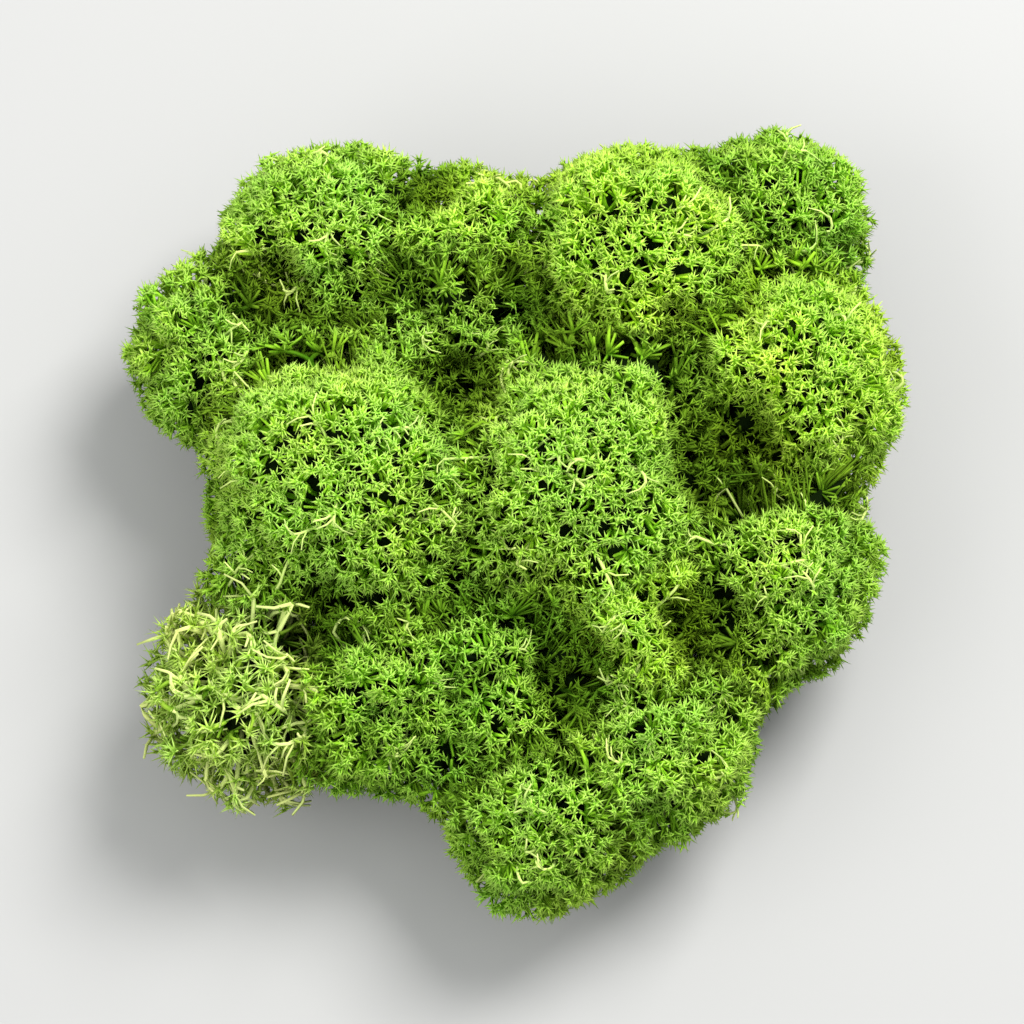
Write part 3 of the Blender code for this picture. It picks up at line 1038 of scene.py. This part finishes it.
    def add_stars(self, forks: Forks, stock: MeshStock) -> None:
        """End forks in stars of tips.

        The tips stand round the fork's end at even turns, some a little further back, where they are
        longer. Most lean over flat and reach across to the next star, and some stand steep.

        Args:
            forks: The ends that bear stars.
            stock: Takes the tips.
        """
        rng, sizes = self.rng, self.growth.stars
        count = rng.integers(sizes.tips[0], sizes.tips[1] + 1, size=len(forks.points))
        owner = np.repeat(np.arange(len(count)), count)
        place = np.arange(len(owner)) - np.repeat(np.cumsum(count) - count, count)
        turn = (place + rng.uniform(-0.25, 0.25, size=len(owner))) * math.tau / count[owner]
        turn += rng.uniform(0.0, math.tau, size=len(count))[owner]
        steep = rng.uniform(size=len(owner)) < sizes.steep_share
        upright = rng.uniform(*sizes.steep_lean, len(owner))
        lean = np.where(steep, upright, rng.uniform(*sizes.flat_lean, len(owner)))
        up = unit(forks.outward + 0.35 * forks.heading)[owner]
        first, second = side_axes(up)
        side = side_turn(first, second, turn)
        length = rng.uniform(*sizes.length, size=len(owner))[:, None]
        back = rng.uniform(size=len(owner))[:, None]
        start = forks.points[owner] - forks.heading[owner] * back * sizes.along
        length = length + 0.6 * back * sizes.along
        run = up * np.cos(lean)[:, None] + side * np.sin(lean)[:, None]
        end = start + run * length + up * length * 0.25
        aim = unit(end - self.plan.centre)
        end = end + (self.push_from_holes(aim, 0.55) - aim) * self.plan.size
        out = np.sum((end - forks.points[owner]) * forks.outward[owner], axis=1)
        excess = np.maximum(out - rng.uniform(*sizes.stand_out, size=len(out)), 0.0)
        end = end - forks.outward[owner] * excess[:, None]
        end[:, 2] = np.maximum(end[:, 2], self.form.rest_height + 0.3 * MM)
        radius = sizes.base * rng.uniform(0.8, 1.2, size=len(end))
        tint = rng.uniform(size=len(count))[owner]
        stock.add_spikes(np.stack((start, end), axis=1), radius, (0.88, 1.0), forks.light[owner], tint)

    def forks_along(self, path: Array, light: Array, first: int) -> Forks:
        """Points along stalks, from which side twigs grow.

        Args:
            path: The stalks, as (stalk, station, xyz).
            light: Light of each stalk.
            first: The first station that counts.

        Returns:
            The points, heading along their stalks.
        """
        ends = path[:, first:].reshape(-1, 3)
        heading = unit(np.gradient(path, axis=1))[:, first:].reshape(-1, 3)
        light = np.repeat(light, path.shape[1] - first)
        return Forks(ends, unit(ends - self.plan.centre), heading, light)

    def add_runners(self, stock: MeshStock) -> Forks:
        """Lay long pale stalks over the surface, each up out of the depth, along and down again.

        A stalk's directions are aim + s (side cos b + across sin b), where s is the length run and the
        turn b grows with it. Its depth is least halfway and grows by dive (2 s - 1) ** 2 to both ends.

        Args:
            stock: Takes the stalks.

        Returns:
            Points along the stalks.
        """
        rng, sizes, stations = self.rng, self.growth.runners, 8
        count = int(sizes.density * 2.0 * math.tau * self.plan.size**2)
        aims = unit(rng.normal(size=(count, 3)) + (0.0, 0.0, 0.5))
        first, second = side_axes(aims)
        turn = rng.uniform(0.0, math.tau, size=(count, 1))
        run = np.linspace(0.0, 1.0, stations)[None]
        bend = turn + run * rng.normal(scale=sizes.bend, size=(count, 1))
        length = rng.uniform(*sizes.length, size=(count, 1)) / self.plan.size
        side = side_turn(first[:, None], second[:, None], bend)
        along = unit(aims[:, None] + side * (run * length)[:, :, None]).reshape(-1, 3)
        depth = sizes.dive * (2.0 * run - 1.0) ** 2 + rng.uniform(*sizes.depth, size=(count, 1))
        path = self.form.at_depth(along, depth.ravel()).reshape(count, stations, 3)
        # How much sky the stalk sees, painted into its colour as light and shade, and used to leave out
        # hidden stalks.
        light = self.around.openness(path[:, stations // 2])
        keep = (light > self.hidden[1]) & (path[:, :, 2].min(axis=1) > self.form.rest_height + 2 * MM)
        path, light = path[keep], light[keep]
        thick = sizes.radius * rng.uniform(0.8, 1.2, size=(len(path), 1))
        radii = np.linspace(1.15, 0.75, stations)[None] * thick
        tone = np.broadcast_to(np.linspace(0.62, 0.92, stations), radii.shape)
        stock.add_twigs(Twigs(path, radii, tone, light, 4, sizes.age), rng)
        stems = self.forks_along(path, light, 2)
        self.add_tines(stems, radii[:, 2:].ravel(), stock)
        return replace(stems, heading=unit(stems.heading + stems.outward))

    def add_tines(self, forks: Forks, radius: Array, stock: MeshStock) -> None:
        """Grow short pale side twigs from long stalks, as tines from an antler.

        A tine leaves along heading + 0.9 side + 0.3 outward and bends a little further to its side.

        Args:
            forks: Points along the stalks.
            radius: The stalks' radius at each.
            stock: Takes the tines.
        """
        rng, sizes = self.rng, self.growth.runners
        keep = rng.uniform(size=len(radius)) < sizes.tine_share
        start, heading, outward = forks.points[keep], forks.heading[keep], forks.outward[keep]
        side = unit(np.cross(heading, outward)) * rng.choice((-1.0, 1.0), size=(len(start), 1))
        length = rng.uniform(*sizes.tine_length, size=(len(start), 1))
        aim = unit(heading + 0.9 * side + 0.3 * outward)
        end = start + unit(aim + 0.35 * side) * length
        middle = start + aim * length * 0.5
        path = np.stack((start, middle, end), axis=1)
        path[:, :, 2] = np.maximum(path[:, :, 2], self.form.rest_height + MM)
        radii = radius[keep][:, None] * np.array((0.85, 0.7, 0.5))
        tone = np.broadcast_to((0.80, 0.88, 0.97), radii.shape)
        stock.add_twigs(Twigs(path, radii, tone, forks.light[keep], 3, sizes.age), rng)

    def add_stalks(self, stock: MeshStock) -> Forks:
        """Stand old stalks round the open flanks, from the foot up under the dome.

        Each follows the form just below the surface, from near straight down to a little below the
        middle, with a slight turn on the way.

        Args:
            stock: Takes the stalks.

        Returns:
            Points along the stalks, from which side twigs grow.
        """
        rng, stations = self.rng, 7
        run = np.linspace(0.0, 1.0, stations)
        turn = (np.arange(self.stalks) + rng.uniform(-0.4, 0.4, size=self.stalks)) * math.tau / self.stalks
        turn = turn[:, None] + run * rng.normal(scale=0.22, size=(self.stalks, 1))
        top = rng.uniform(*self.stalk_tops, size=(self.stalks, 1))
        height = self.stalk_start + (top - self.stalk_start) * run**1.3
        aims = upright_turn(turn, height).reshape(-1, 3)
        depth = rng.uniform(0.4 * MM, 2.2 * MM, size=(self.stalks, 1)) + run * 1.4 * MM
        points = self.form.at_depth(aims, depth.ravel())
        points[:, 2] = np.maximum(points[:, 2], self.form.rest_height + self.stalk_radius[1])
        path = points.reshape(self.stalks, stations, 3)
        # How much sky the stalk sees, painted into its colour as light and shade, and used to leave out
        # hidden stalks.
        light = self.around.openness(path[:, 2])
        keep = light > self.hidden[1]
        path, light = path[keep], light[keep]
        radii = np.linspace(1.0, 0.55, stations)[None] * rng.uniform(*self.stalk_radius, size=(len(path), 1))
        tone = np.broadcast_to(np.linspace(0.35, 0.66, stations), radii.shape)
        stock.add_twigs(Twigs(path, radii, tone, light, 5, 0.5), rng)
        stems = self.forks_along(path, light, 1)
        return replace(stems, heading=unit(stems.heading + stems.outward))

    def add_heart(self, stock: MeshStock) -> None:
        """Close the middle of the head with a sheet that stands for its crowded inner growth, painted near
        black as the shade inside it.

        It is the head's own form drawn in, on a grid of turns and heights with one point at each pole.

        Args:
            stock: Takes the surface.
        """
        turns, heights = self.heart_grid
        polar = np.linspace(0.0, math.pi, heights + 2)[1:-1]
        turn = np.arange(turns) * math.tau / turns
        polar, turn = (grid.ravel() for grid in np.meshgrid(polar, turn, indexing="ij"))
        poles = ((0.0, 0.0, 1.0), (0.0, 0.0, -1.0))
        aims = np.concatenate((upright_turn(turn, np.cos(polar)), poles))
        places, facing, _, buried = self.form.surface(aims)
        reach = np.linalg.norm(places - self.plan.centre, axis=1)
        bare = 1.0 - smooth_step(buried, *self.heart_burial)
        seen = smooth_step(self.around.openness(places), 0.0, 0.12) * bare
        depth = np.minimum(self.growth.heart_depth * (0.3 + 0.7 * seen), 0.45 * reach)
        depth = depth * self.rng.uniform(*self.heart_unevenness, size=len(aims))
        points = self.form.sunk(aims, places, facing, depth)
        points[:, 2] = np.maximum(points[:, 2], self.form.rest_height + 0.4 * MM)
        row = np.arange(heights - 1)[:, None] * turns
        column = np.arange(turns)[None]
        beside = (column + 1) % turns
        quads = np.stack((row + column, row + turns + column, row + turns + beside, row + beside), axis=-1)
        ring = np.arange(turns)
        top, bottom = np.full(turns, turns * heights), np.full(turns, turns * heights + 1)
        last = (heights - 1) * turns
        caps = np.concatenate(
            (
                np.stack((top, ring, np.roll(ring, -1)), axis=1),
                np.stack((bottom, last + np.roll(ring, -1), last + ring), axis=1),
            )
        )
        # Painted shade: tone and light are 0, so the sheet is drawn near black.
        values = np.broadcast_to((0.0, 0.5, 0.0, 0.0), (len(points), len(POINT_VALUES)))
        stock.add(points, quads, caps, values)

    def build(self) -> bpy.types.Object:
        """Build the whole head as one piece.

        Returns:
            The piece.
        """
        stock = MeshStock()
        self.add_heart(stock)
        forks = self.foot()
        flank = self.add_stalks(stock)
        for number, layer in enumerate(self.growth.layers):
            below, parents = forks, forks if number < 2 else forks.joined(flank)
            forks = self.grow(layer, parents, stock)
            if number == 2:
                under = [self.grow(bush, forks.joined(flank), stock) for bush in self.growth.undergrowth]
                flank = flank.joined(self.add_runners(stock))
        bare = (below.only(self.childless[: len(below.points)]), *under)
        layers = (self.growth.layers[-2], *self.growth.undergrowth)
        lonely = [ends.far_from(forks, self.lonely * layer.depth) for ends, layer in zip(bare, layers)]
        self.add_stars(forks.joined(*lonely), stock)
        return stock.build(self.plan.node.replace("head", "lichen"))


class TwigShading:
    """Shader groups that every shade of lichen uses."""

    @staticmethod
    def tone_group() -> bpy.types.NodeTree:
        """Colour of a twig from its root to its tip.

        The inside is the Deep colour, a dark green that paints the shade deep in the head, and it turns to
        the Body colour outwards and, where the point's light value shows open sky, to the Tip colour at
        the very ends; the pale tips are partly their own colour and partly painted light. Long bare
        stalks have the Straw colour, and old wood near the floor the Old one. Each twig has its own
        tint. Where the light value is low, and most in the innermost parts, the colour is darkened as
        painted shade.

        Returns:
            The node group.
        """
        tree = bpy.data.node_groups.new("Twig tone", "ShaderNodeTree")
        for name in ("Old", "Straw", "Deep", "Body", "Tip"):
            tree.interface.new_socket(name, in_out="INPUT", socket_type="NodeSocketColor")
        for name, kind in (("Color", "Color"), ("Roughness", "Float"), ("Height", "Float")):
            tree.interface.new_socket(name, in_out="OUTPUT", socket_type=f"NodeSocket{kind}")
        draw = NodeDrawer(tree)
        ends = draw.node("NodeGroupInput")
        out = draw.node("NodeGroupOutput")
        tone, tint, light, age = (draw.attribute(name) for name in POINT_VALUES)
        place = draw.node("ShaderNodeTexCoord").outputs["Object"]
        # Painted light and shade: the light value lightens the tips and darkens what sees little sky.
        open_sky = draw.ramp(light, 0.0, 0.8)
        body = draw.mix(draw.ramp(tone, 0.42, 0.86), ends.outputs["Deep"], ends.outputs["Body"])
        tip = draw.math("MULTIPLY", draw.ramp(tone, 0.84, 1.0), open_sky)
        tipped = draw.mix(tip, body, ends.outputs["Tip"])
        straw = draw.mix(age, tipped, ends.outputs["Straw"])
        height = draw.node("ShaderNodeSeparateXYZ", Vector=place).outputs["Z"]
        old_low = draw.ramp(height, 0.014, 0.002)
        old_inside = draw.ramp(tone, 0.75, 0.20)
        old = draw.math("MULTIPLY", old_low, old_inside)
        aged = draw.mix(old, straw, ends.outputs["Old"])
        patch = draw.noise(place, 90.0, 2.0)
        grain = draw.noise(place, 2600.0, 2.0)
        # Painted shade: the innermost parts, of low tone, are darkened.
        out_of_inner_shade = draw.ramp(tone, 0.0, 0.4)
        value = draw.math("MULTIPLY_ADD", tint, 0.36, 0.82)
        factors = ((patch, 0.36, 0.82), (open_sky, 0.68, 0.32), (grain, 0.30, 0.85), (out_of_inner_shade, 0.85, 0.15))
        for source, rise, least in factors:
            value = draw.math("MULTIPLY", value, draw.math("MULTIPLY_ADD", source, rise, least))
        hue = draw.math("MULTIPLY_ADD", patch, -0.05, 0.525)
        shade = draw.node("ShaderNodeHueSaturation", Color=aged, Hue=hue, Value=value)
        draw.link(shade.outputs["Color"], out.inputs["Color"])
        draw.link(draw.math("MULTIPLY_ADD", grain, 0.25, 0.62), out.inputs["Roughness"])
        draw.link(grain, out.inputs["Height"])
        return tree


class NodeDrawer:
    """Short ways to place and join shader nodes in one tree."""

    def __init__(self, tree: bpy.types.NodeTree) -> None:
        """Keep the tree."""
        self.tree = tree

    def link(self, source: bpy.types.NodeSocket, target: bpy.types.NodeSocket) -> None:
        """Join two sockets."""
        self.tree.links.new(source, target)

    def node(self, kind: str, **inputs: object) -> bpy.types.Node:
        """Place a node and set or join its inputs by name.

        Args:
            kind: Blender's name of the node type.
            inputs: Sockets to join, or constants to set.

        Returns:
            The node.
        """
        node = self.tree.nodes.new(kind)
        for name, value in inputs.items():
            self.feed(node.inputs[name], value)
        return node

    def feed(self, socket: bpy.types.NodeSocket, value: object) -> None:
        """Join a socket to another or set its constant.

        Args:
            socket: The input.
            value: An output socket or a constant.
        """
        if isinstance(value, bpy.types.NodeSocket):
            self.link(value, socket)
        else:
            socket.default_value = value

    def attribute(self, name: str) -> bpy.types.NodeSocket:
        """Read a point value of the piece."""
        node = self.node("ShaderNodeAttribute")
        node.attribute_name = name
        return node.outputs["Fac"]

    def math(self, operation: str, *values: object) -> bpy.types.NodeSocket:
        """Work out a number.

        Args:
            operation: Blender's name of the operation.
            values: Its operands, sockets or numbers.

        Returns:
            The result's socket.
        """
        node = self.node("ShaderNodeMath")
        node.operation = operation
        for socket, value in zip(node.inputs, values):
            self.feed(socket, value)
        return node.outputs["Value"]

    def ramp(self, value: bpy.types.NodeSocket, low: float, high: float) -> bpy.types.NodeSocket:
        """Rise smoothly from 0 at low to 1 at high.

        Args:
            value: The number to judge.
            low: Where the result is 0.
            high: Where the result is 1, above or below low.

        Returns:
            The result's socket.
        """
        node = self.node("ShaderNodeMapRange", Value=value)
        node.interpolation_type = "SMOOTHSTEP"
        ends = (high, low, 1.0, 0.0) if high < low else (low, high, 0.0, 1.0)
        for name, end in zip(("From Min", "From Max", "To Min", "To Max"), ends):
            node.inputs[name].default_value = end
        return node.outputs["Result"]

    def mix(self, factor: object, first: object, second: object) -> bpy.types.NodeSocket:
        """Mix two colours.

        Args:
            factor: 0 for the first, 1 for the second.
            first: A colour or its socket.
            second: A colour or its socket.

        Returns:
            The mixed colour's socket.
        """
        node = self.node("ShaderNodeMix")
        node.data_type = "RGBA"
        for index, value in ((0, factor), (6, first), (7, second)):
            self.feed(node.inputs[index], value)
        return node.outputs[2]

    def noise(self, place: bpy.types.NodeSocket, scale: float, detail: float) -> bpy.types.NodeSocket:
        """Cloudy noise from 0 to 1, with so many clouds to the metre and so many finer layers."""
        node = self.node("ShaderNodeTexNoise", Vector=place, Scale=scale, Detail=detail)
        return node.outputs["Fac"]


@dataclass(frozen=True)
class LichenFinish:
    """One shade of lichen: the colours of its old wood, inside, body and tips, the inside's colour being a
    dark green that paints the shade deep in a head.
    """

    tone: Tone
    deep: Colour
    body: Colour
    tip: Colour
    straw: Colour = (0.80, 0.90, 0.30)
    old: Colour = (0.30, 0.24, 0.09)

    def make(self, group: bpy.types.NodeTree) -> bpy.types.Material:
        """Make the material.

        Args:
            group: The shared twig tone group.

        Returns:
            The material.
        """
        material, shader = new_material(f"lichen_{self.tone.value}")
        draw = NodeDrawer(material.node_tree)
        tone = draw.node("ShaderNodeGroup")
        tone.node_tree = group
        for name in ("Old", "Straw", "Deep", "Body", "Tip"):
            tone.inputs[name].default_value = (*getattr(self, name.lower()), 1.0)
        bump = draw.node("ShaderNodeBump", Height=tone.outputs["Height"], Strength=0.5, Distance=0.00008)
        draw.link(tone.outputs["Color"], shader.inputs["Base Color"])
        draw.link(tone.outputs["Roughness"], shader.inputs["Roughness"])
        draw.link(bump.outputs["Normal"], shader.inputs["Normal"])
        shader.inputs["Specular IOR Level"].default_value = 0.07
        return material


# The deep colours are painted shade for the insides of the heads.
FINISHES = (
    LichenFinish(Tone.PALE, (0.090, 0.270, 0.003), (0.35, 0.67, 0.030), (0.51, 0.77, 0.140)),
    LichenFinish(Tone.BRIGHT, (0.100, 0.290, 0.003), (0.40, 0.73, 0.027), (0.57, 0.82, 0.130)),
    LichenFinish(Tone.MID, (0.078, 0.250, 0.003), (0.33, 0.64, 0.028), (0.49, 0.74, 0.130)),
    LichenFinish(Tone.DEEP, (0.060, 0.215, 0.003), (0.285, 0.60, 0.024), (0.45, 0.71, 0.115)),
    LichenFinish(Tone.STRAW, (0.110, 0.260, 0.005), (0.42, 0.67, 0.055), (0.64, 0.84, 0.21)),
)


@dataclass(frozen=True)
class Studio:
    """A plain pale floor, soft light from the upper right, and the photograph's view."""

    elevation: float = math.radians(76)
    distance: float = 0.80
    lens: float = 181.0
    sensor: float = 36.0
    floor_size: float = 3.0

    def floor(self) -> None:
        """Lay the floor."""
        half = self.floor_size / 2
        mesh = bpy.data.meshes.new("floor")
        corners = [(-half, -half, 0.0), (half, -half, 0.0), (half, half, 0.0), (-half, half, 0.0)]
        mesh.from_pydata(corners, [], [(0, 1, 2, 3)])
        thing = put_in_scene("floor", mesh)
        material, shader = new_material("floor")
        shader.inputs["Base Color"].default_value = (0.44, 0.436, 0.425, 1.0)
        shader.inputs["Roughness"].default_value = 0.9
        mesh.materials.append(material)

    def lamp(self, name: str, spot: Place, power: float, size: float) -> None:
        """Hang a square soft light that faces the clump.

        Args:
            name: Name of the lamp.
            spot: Its place in metres.
            power: Its power in watts.
            size: Its side in metres.
        """
        data = bpy.data.lights.new(name, "AREA")
        data.energy = power
        data.size = size
        thing = put_in_scene(name, data)
        thing.location = spot
        turn_to(thing, (0.0, 0.0, 0.02))

    def camera(self) -> None:
        """Set the camera at the photograph's angle: nearly straight above, from the near side."""
        data = bpy.data.cameras.new("camera")
        data.lens = self.lens
        data.sensor_width = self.sensor
        thing = put_in_scene("camera", data)
        aim = (0.0, 0.0, 0.022)
        back = -self.distance * math.cos(self.elevation)
        thing.location = (0.0, back, aim[2] + self.distance * math.sin(self.elevation))
        bpy.context.scene.view_settings.view_transform = "Standard"
        turn_to(thing, aim)
        bpy.context.scene.camera = thing

    def build(self) -> None:
        """Set up the floor, the lights and the camera."""
        self.floor()
        self.lamp("key", (0.38, 0.42, 0.75), 11.5, 0.42)
        self.lamp("fill", (-0.70, -0.30, 0.60), 4.6, 0.8)
        world = bpy.data.worlds.new("studio")
        world.use_nodes = True
        background = world.node_tree.nodes["Background"]
        background.inputs["Color"].default_value = (0.95, 0.98, 1.0, 1.0)
        background.inputs["Strength"].default_value = 0.72
        bpy.context.scene.world = world
        self.camera()


def turn_to(thing: bpy.types.Object, target: Place) -> None:
    """Turn a lamp or camera that is in place to face a point, in metres."""
    thing.rotation_euler = (Vector(target) - thing.location).to_track_quat("-Z", "Y").to_euler()


def main() -> None:
    """Build every head, the floor, the light and the camera, and write the sizes."""
    logging.basicConfig(level=logging.INFO, format="%(message)s")
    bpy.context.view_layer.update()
    group = TwigShading.tone_group()
    materials = {finish.tone: finish.make(group) for finish in FINISHES}
    around = Surroundings()
    total = 0
    for number, plan in enumerate(CLUMP):
        piece = LichenHead(plan, number, around).build()
        piece.data.materials.append(materials[plan.tone])
        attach(piece, "root")
        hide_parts(plan.node)
        triangles = len(piece.data.loops) - 2 * len(piece.data.polygons)
        total += triangles
        log.info("%s: %d triangles", piece.name, triangles)
    log.info("all heads: %d triangles", total)
    Studio().build()


if __name__ == "__main__":
    main()
